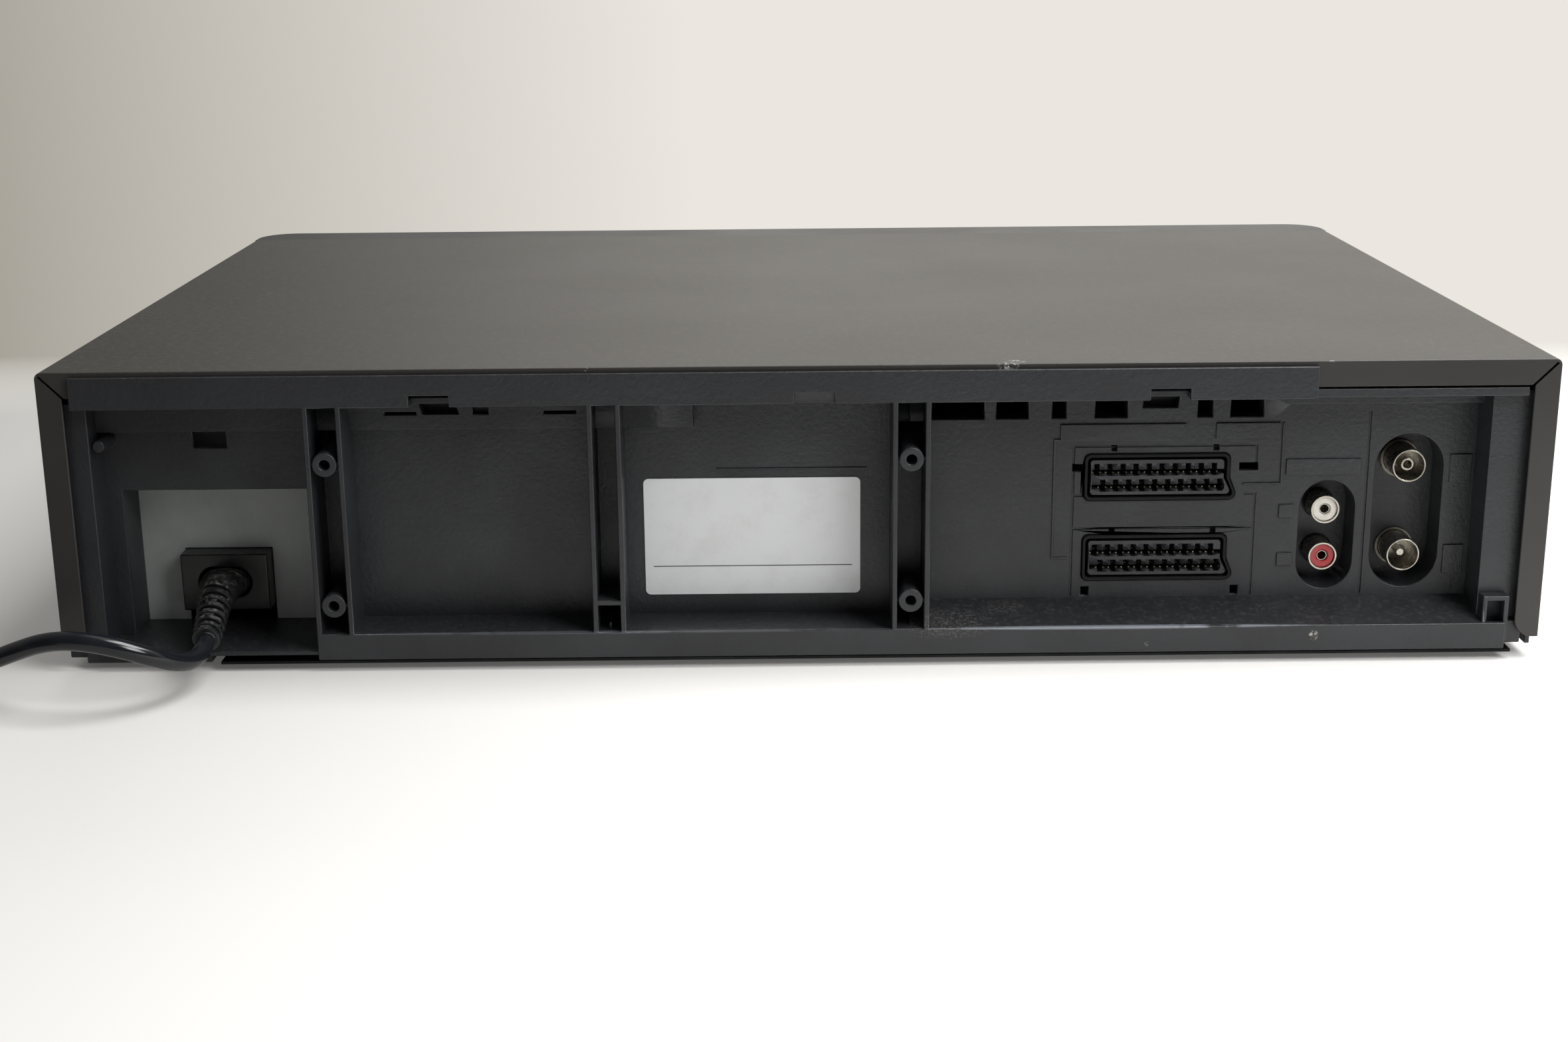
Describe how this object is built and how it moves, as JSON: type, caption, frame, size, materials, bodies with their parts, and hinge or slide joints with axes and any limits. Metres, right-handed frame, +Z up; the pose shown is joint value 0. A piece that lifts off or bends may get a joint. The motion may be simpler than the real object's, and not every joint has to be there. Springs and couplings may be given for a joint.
{
  "type": "video cassette recorder",
  "caption": "Front-loading video cassette recorder: steel cover, moulded socket panel, sprung cassette door, sliding and dropping tray, tape deck, mains lead in a coil.",
  "frame": {"origin": "on the table under the middle of the cabinet", "axes": "+Z up, the front panel faces -Y, the socket panel faces +Y, +X is to the right seen from the front"},
  "size_m": [0.589, 0.387, 0.089],
  "materials": {
    "cover_paint": "satin",
    "panel_plastic": "textured matte",
    "fascia_plastic": "satin",
    "button_plastic": "satin",
    "window_acrylic": "gloss",
    "display_glass": "gloss",
    "frame_plastic": "matte",
    "zinc_steel": "satin",
    "rubber": "matte",
    "screw_steel": "satin black",
    "label_foil": "satin",
    "socket_plastic": "semi matte",
    "contact_metal": "tinned",
    "nickel": "nickel plated",
    "insert_plastic": "gloss, one white and one red",
    "board_laminate": "matte",
    "green_laminate": "matte",
    "ferrite": "matte",
    "grey_board": "matte",
    "aluminium": "machined",
    "cord_pvc": "gloss",
    "gear_plastic": "satin"
  },
  "bodies": {
    "cabinet": {"top_cover": "cover_paint", "rear_panel": "panel_plastic", "front_panel": "fascia_plastic", "display_window": "window_acrylic", "display_tube": "display_glass", "front_board": "green_laminate", "main_frame": "frame_plastic", "bottom_plate": "zinc_steel", "feet": "rubber", "cover_screws": "screw_steel", "rating_label": "label_foil", "scart_upper": "socket_plastic", "scart_lower": "socket_plastic", "scart_contacts": "contact_metal", "phono_block": "socket_plastic", "phono_shells": "nickel", "phono_inserts": "insert_plastic", "tuner_can": "zinc_steel", "aerial_input": "nickel", "aerial_output": "nickel", "main_board": "board_laminate", "power_board": "board_laminate", "power_transformer": "ferrite", "heatsink": "aluminium", "insulation_plate": "grey_board", "mains_inlet": "socket_plastic", "cord_connector": "cord_pvc", "mains_cord": "cord_pvc", "cord_coil": "cord_pvc", "cord_tie": "rubber", "mains_plug": "cord_pvc", "deck_plate": "zinc_steel", "lift_sides": "zinc_steel", "lower_drum": "aluminium", "capstan_motor": "contact_metal", "tape_heads": "nickel", "loading_motor": "zinc_steel"},
    "door": {"cassette_door": "fascia_plastic"},
    "power_key": {"power_button": "button_plastic"},
    "eject_key": {"eject_button": "button_plastic"},
    "rewind_key": {"rewind_button": "button_plastic"},
    "play_key": {"play_button": "button_plastic"},
    "forward_key": {"forward_button": "button_plastic"},
    "stop_key": {"stop_button": "button_plastic"},
    "record_key": {"record_button": "button_plastic"},
    "rocker": {"channel_rocker": "button_plastic"},
    "slider": {"cassette_slider": "zinc_steel"},
    "tray": {"cassette_tray": "zinc_steel"},
    "drum": {"upper_drum": "aluminium"},
    "capstan_shaft": {"capstan": "nickel"},
    "pinch": {"pinch_arm": "zinc_steel"},
    "roller": {"pinch_roller": "rubber"},
    "supply": {"supply_reel": "gear_plastic"},
    "takeup": {"takeup_reel": "gear_plastic"},
    "idler": {"idler_arm": "zinc_steel"},
    "idler_wheel": {"idler_gear": "gear_plastic"},
    "guide_left": {"left_guide": "nickel"},
    "guide_right": {"right_guide": "nickel"},
    "cam": {"cam_gear": "gear_plastic"},
    "worm_shaft": {"worm": "gear_plastic"}
  },
  "joints": [
    {"name": "door_hinge", "type": "hinge", "parent": "cabinet", "child": "door", "pos_m": [-0.062, -0.1374, 0.0779], "axis": [1, 0, 0], "range_deg": [0, 80], "stiffness_Nm_per_rad": 0.02, "springref_deg": -20.05},
    {"name": "power_press", "type": "slide", "parent": "cabinet", "child": "power_key", "axis": [0, 1, 0], "range_m": [0, 0.0008], "stiffness_N_per_m": 1500},
    {"name": "eject_press", "type": "slide", "parent": "cabinet", "child": "eject_key", "axis": [0, 1, 0], "range_m": [0, 0.0008], "stiffness_N_per_m": 1500},
    {"name": "rewind_press", "type": "slide", "parent": "cabinet", "child": "rewind_key", "axis": [0, 1, 0], "range_m": [0, 0.0008], "stiffness_N_per_m": 1500},
    {"name": "play_press", "type": "slide", "parent": "cabinet", "child": "play_key", "axis": [0, 1, 0], "range_m": [0, 0.0008], "stiffness_N_per_m": 1500},
    {"name": "forward_press", "type": "slide", "parent": "cabinet", "child": "forward_key", "axis": [0, 1, 0], "range_m": [0, 0.0008], "stiffness_N_per_m": 1500},
    {"name": "stop_press", "type": "slide", "parent": "cabinet", "child": "stop_key", "axis": [0, 1, 0], "range_m": [0, 0.0008], "stiffness_N_per_m": 1500},
    {"name": "record_press", "type": "slide", "parent": "cabinet", "child": "record_key", "axis": [0, 1, 0], "range_m": [0, 0.0008], "stiffness_N_per_m": 1500},
    {"name": "channel_rock", "type": "hinge", "parent": "cabinet", "child": "rocker", "pos_m": [0.192, -0.1374, 0.028], "axis": [1, 0, 0], "range_deg": [-3, 3], "stiffness_Nm_per_rad": 0.2},
    {"name": "tray_in", "type": "slide", "parent": "cabinet", "child": "slider", "axis": [0, 1, 0], "range_m": [0, 0.047]},
    {"name": "tray_down", "type": "slide", "parent": "slider", "child": "tray", "axis": [0, 0, -1], "range_m": [0, 0.022]},
    {"name": "drum_spin", "type": "hinge", "parent": "cabinet", "child": "drum", "pos_m": [-0.062, 0.07163, 0.03412], "axis": [0, -0.1045, 0.9945], "continuous": true},
    {"name": "capstan_spin", "type": "hinge", "parent": "cabinet", "child": "capstan_shaft", "pos_m": [-0.004, 0.0492, 0.02], "axis": [0, 0, 1], "continuous": true},
    {"name": "cam_turn", "type": "hinge", "parent": "cabinet", "child": "cam", "pos_m": [-0.144, 0.0752, 0.02], "axis": [0, 0, 1], "range_deg": [0, 170]},
    {"name": "worm_spin", "type": "hinge", "parent": "cabinet", "child": "worm_shaft", "pos_m": [-0.144, 0.0966, 0.0235], "axis": [1, 0, 0], "continuous": true},
    {"name": "guide_left_travel", "type": "slide", "parent": "cabinet", "child": "guide_left", "axis": [-0.3315, 0.9435, 0], "range_m": [0, 0.03922]},
    {"name": "guide_right_travel", "type": "slide", "parent": "cabinet", "child": "guide_right", "axis": [0.3315, 0.9435, 0], "range_m": [0, 0.03922]},
    {"name": "pinch_swing", "type": "hinge", "parent": "cabinet", "child": "pinch", "pos_m": [0.013, 0.0752, 0.025], "axis": [0, 0, 1], "range_deg": [-21.5, 0]},
    {"name": "roller_spin", "type": "hinge", "parent": "pinch", "child": "roller", "pos_m": [0.01216, 0.05121, 0.027], "axis": [0, 0, 1], "continuous": true},
    {"name": "supply_spin", "type": "hinge", "parent": "cabinet", "child": "supply", "pos_m": [-0.108, -0.0108, 0.02], "axis": [0, 0, 1], "continuous": true},
    {"name": "takeup_spin", "type": "hinge", "parent": "cabinet", "child": "takeup", "pos_m": [-0.016, -0.0108, 0.02], "axis": [0, 0, 1], "continuous": true},
    {"name": "idler_swing", "type": "hinge", "parent": "cabinet", "child": "idler", "pos_m": [-0.062, 0.0152, 0.02], "axis": [0, 0, 1], "range_deg": [-14, 14]},
    {"name": "idler_spin", "type": "hinge", "parent": "idler", "child": "idler_wheel", "pos_m": [-0.062, -0.0048, 0.02], "axis": [0, 0, 1], "continuous": true}
  ],
  "couplings": [
    {"joint": "worm_spin", "follows": "cam_turn", "ratio": 36},
    {"joint": "guide_left_travel", "follows": "cam_turn", "m_per_rad": 0.013216},
    {"joint": "guide_right_travel", "follows": "cam_turn", "m_per_rad": 0.013216},
    {"joint": "pinch_swing", "follows": "cam_turn", "ratio": -0.12588}
  ]
}
